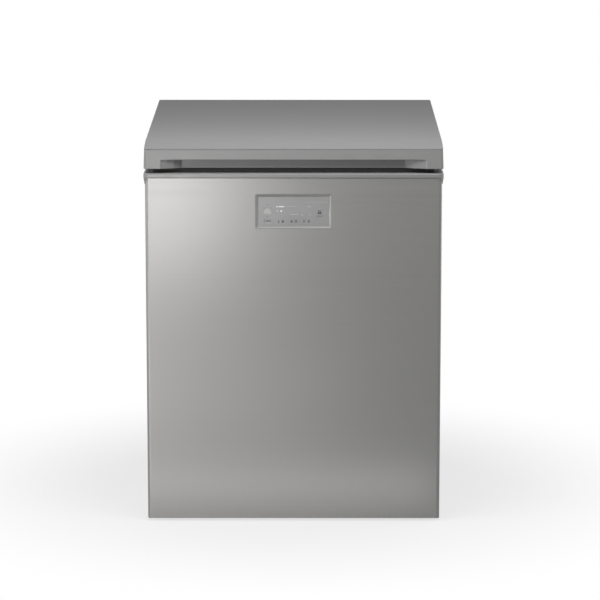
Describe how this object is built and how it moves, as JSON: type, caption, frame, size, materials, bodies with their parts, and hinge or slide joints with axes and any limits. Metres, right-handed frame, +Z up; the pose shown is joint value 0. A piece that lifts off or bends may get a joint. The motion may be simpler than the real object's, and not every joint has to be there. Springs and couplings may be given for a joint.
{
  "type": "kimchi refrigerator",
  "caption": "Chest-type kimchi refrigerator: lift-up lid with grip recess, control panel on the front, insulated tub, lidded containers, compressor and fan behind.",
  "frame": {"origin": "on the floor, below the middle of the whole object", "axes": "+X to the viewer's right, +Y from the front to the back, +Z up"},
  "size_m": [0.664, 0.699, 0.872],
  "materials": {
    "panel_steel": "satin",
    "side_paint": "satin",
    "zinc_steel": "satin",
    "black_plastic": "matte",
    "silver_plastic": "satin",
    "tub_aluminium": "satin",
    "foam": "matte",
    "black_paint": "satin",
    "dark_rubber": "matte",
    "copper": "satin",
    "white_plastic": "satin",
    "fascia_film": "satin",
    "lid_steel": "satin",
    "lid_plastic": "satin",
    "container_plastic": "satin",
    "container_lid_plastic": "satin"
  },
  "bodies": {
    "cabinet": {"front_panel": "panel_steel", "left_side_panel": "side_paint", "right_side_panel": "side_paint", "back_panel": "zinc_steel", "machine_cover": "black_plastic", "cord_bush": "black_plastic", "top_frame": "silver_plastic", "inner_tub": "tub_aluminium", "evaporator_tube": "tub_aluminium", "body_insulation": "foam", "base_plate": "zinc_steel", "compressor": "black_paint", "compressor_grommet_1": "dark_rubber", "compressor_grommet_2": "dark_rubber", "compressor_grommet_3": "dark_rubber", "compressor_grommet_4": "dark_rubber", "relay_cover": "black_plastic", "condenser": "copper", "fan_shroud": "black_plastic", "fan_motor": "zinc_steel", "filter_dryer": "copper", "main_board_case": "white_plastic", "control_housing": "silver_plastic", "control_fascia": "fascia_film", "hinge_base_left": "zinc_steel", "hinge_pin_left": "zinc_steel", "hinge_spring_left": "zinc_steel", "hinge_base_right": "zinc_steel", "hinge_pin_right": "zinc_steel", "hinge_spring_right": "zinc_steel"},
    "lid": {"lid_top_cover": "lid_steel", "lid_frame": "lid_plastic", "lid_insulation": "foam", "lid_liner": "white_plastic", "lid_gasket": "dark_rubber", "hinge_arm_left": "zinc_steel", "hinge_arm_right": "zinc_steel"},
    "plunger_left": {"hinge_plunger_left": "white_plastic"},
    "plunger_right": {"hinge_plunger_right": "white_plastic"},
    "key_mode": {"key_mode": "fascia_film"},
    "key_lock": {"key_lock": "fascia_film"},
    "key_power": {"key_power": "fascia_film"},
    "key_store": {"key_store": "fascia_film"},
    "key_fresh": {"key_fresh": "fascia_film"},
    "key_set": {"key_set": "fascia_film"},
    "fan": {"fan_blade": "white_plastic"},
    "foot_pad_left": {"foot_pad_left": "black_plastic"},
    "foot_screw_left": {"foot_screw_left": "zinc_steel"},
    "roller_left": {"roller_left": "white_plastic"},
    "foot_pad_right": {"foot_pad_right": "black_plastic"},
    "foot_screw_right": {"foot_screw_right": "zinc_steel"},
    "roller_right": {"roller_right": "white_plastic"},
    "container_1": {"container_1": "container_plastic"},
    "container_lid_1": {"container_lid_1": "container_lid_plastic"},
    "container_2": {"container_2": "container_plastic"},
    "container_lid_2": {"container_lid_2": "container_lid_plastic"},
    "container_3": {"container_3": "container_plastic"},
    "container_lid_3": {"container_lid_3": "container_lid_plastic"},
    "container_4": {"container_4": "container_plastic"},
    "container_lid_4": {"container_lid_4": "container_lid_plastic"}
  },
  "joints": [
    {"name": "lid_hinge", "type": "hinge", "parent": "cabinet", "child": "lid", "pos_m": [0, 0.341, 0.791], "axis": [-1, 0, 0], "range_deg": [0, 70], "stiffness_Nm_per_rad": 10.6, "springref_deg": 107.72},
    {"name": "plunger_slide_left", "type": "slide", "parent": "cabinet", "child": "plunger_left", "axis": [0, 0, 1], "range_m": [0, 0.011], "deforming": ["hinge_spring_left"]},
    {"name": "plunger_slide_right", "type": "slide", "parent": "cabinet", "child": "plunger_right", "axis": [0, 0, 1], "range_m": [0, 0.011], "deforming": ["hinge_spring_right"]},
    {"name": "key_mode_press", "type": "slide", "parent": "cabinet", "child": "key_mode", "axis": [0, 1, 0], "range_m": [0, 0.0008], "stiffness_N_per_m": 400},
    {"name": "key_lock_press", "type": "slide", "parent": "cabinet", "child": "key_lock", "axis": [0, 1, 0], "range_m": [0, 0.0008], "stiffness_N_per_m": 400},
    {"name": "key_power_press", "type": "slide", "parent": "cabinet", "child": "key_power", "axis": [0, 1, 0], "range_m": [0, 0.0008], "stiffness_N_per_m": 400},
    {"name": "key_store_press", "type": "slide", "parent": "cabinet", "child": "key_store", "axis": [0, 1, 0], "range_m": [0, 0.0008], "stiffness_N_per_m": 400},
    {"name": "key_fresh_press", "type": "slide", "parent": "cabinet", "child": "key_fresh", "axis": [0, 1, 0], "range_m": [0, 0.0008], "stiffness_N_per_m": 400},
    {"name": "key_set_press", "type": "slide", "parent": "cabinet", "child": "key_set", "axis": [0, 1, 0], "range_m": [0, 0.0008], "stiffness_N_per_m": 400},
    {"name": "fan_spin", "type": "hinge", "parent": "cabinet", "child": "fan", "pos_m": [-0.079, 0.195, 0.115], "axis": [1, 0, 0], "continuous": true},
    {"name": "foot_slide_left", "type": "slide", "parent": "cabinet", "child": "foot_pad_left", "axis": [0, 0, -1], "range_m": [0, 0.01]},
    {"name": "foot_turn_left", "type": "hinge", "parent": "foot_pad_left", "child": "foot_screw_left", "pos_m": [-0.285, -0.305, 0.02], "axis": [0, 0, -1], "range_deg": [0, 2900]},
    {"name": "roller_spin_left", "type": "hinge", "parent": "cabinet", "child": "roller_left", "pos_m": [-0.285, 0.285, 0.012], "axis": [1, 0, 0], "continuous": true},
    {"name": "foot_slide_right", "type": "slide", "parent": "cabinet", "child": "foot_pad_right", "axis": [0, 0, -1], "range_m": [0, 0.01]},
    {"name": "foot_turn_right", "type": "hinge", "parent": "foot_pad_right", "child": "foot_screw_right", "pos_m": [0.285, -0.305, 0.02], "axis": [0, 0, -1], "range_deg": [0, 2900]},
    {"name": "roller_spin_right", "type": "hinge", "parent": "cabinet", "child": "roller_right", "pos_m": [0.285, 0.285, 0.012], "axis": [1, 0, 0], "continuous": true},
    {"name": "container_lift_1", "type": "slide", "parent": "cabinet", "child": "container_1", "axis": [0, 0, 1], "range_m": [0, 0.235]},
    {"name": "container_lid_lift_1", "type": "slide", "parent": "container_1", "child": "container_lid_1", "axis": [0, 0, 1], "range_m": [0, 0.05]},
    {"name": "container_lift_2", "type": "slide", "parent": "cabinet", "child": "container_2", "axis": [0, 0, 1], "range_m": [0, 0.235]},
    {"name": "container_lid_lift_2", "type": "slide", "parent": "container_2", "child": "container_lid_2", "axis": [0, 0, 1], "range_m": [0, 0.05]},
    {"name": "container_lift_3", "type": "slide", "parent": "cabinet", "child": "container_3", "axis": [0, 0, 1], "range_m": [0, 0.235]},
    {"name": "container_lid_lift_3", "type": "slide", "parent": "container_3", "child": "container_lid_3", "axis": [0, 0, 1], "range_m": [0, 0.05]},
    {"name": "container_lift_4", "type": "slide", "parent": "cabinet", "child": "container_4", "axis": [0, 0, 1], "range_m": [0, 0.235]},
    {"name": "container_lid_lift_4", "type": "slide", "parent": "container_4", "child": "container_lid_4", "axis": [0, 0, 1], "range_m": [0, 0.05]}
  ],
  "couplings": [
    {"joint": "plunger_slide_left", "follows": "lid_hinge", "m_per_rad": 0.009},
    {"joint": "plunger_slide_right", "follows": "lid_hinge", "m_per_rad": 0.009},
    {"joint": "foot_turn_left", "follows": "foot_slide_left", "rad_per_m": 5026.5},
    {"joint": "foot_turn_right", "follows": "foot_slide_right", "rad_per_m": 5026.5}
  ]
}
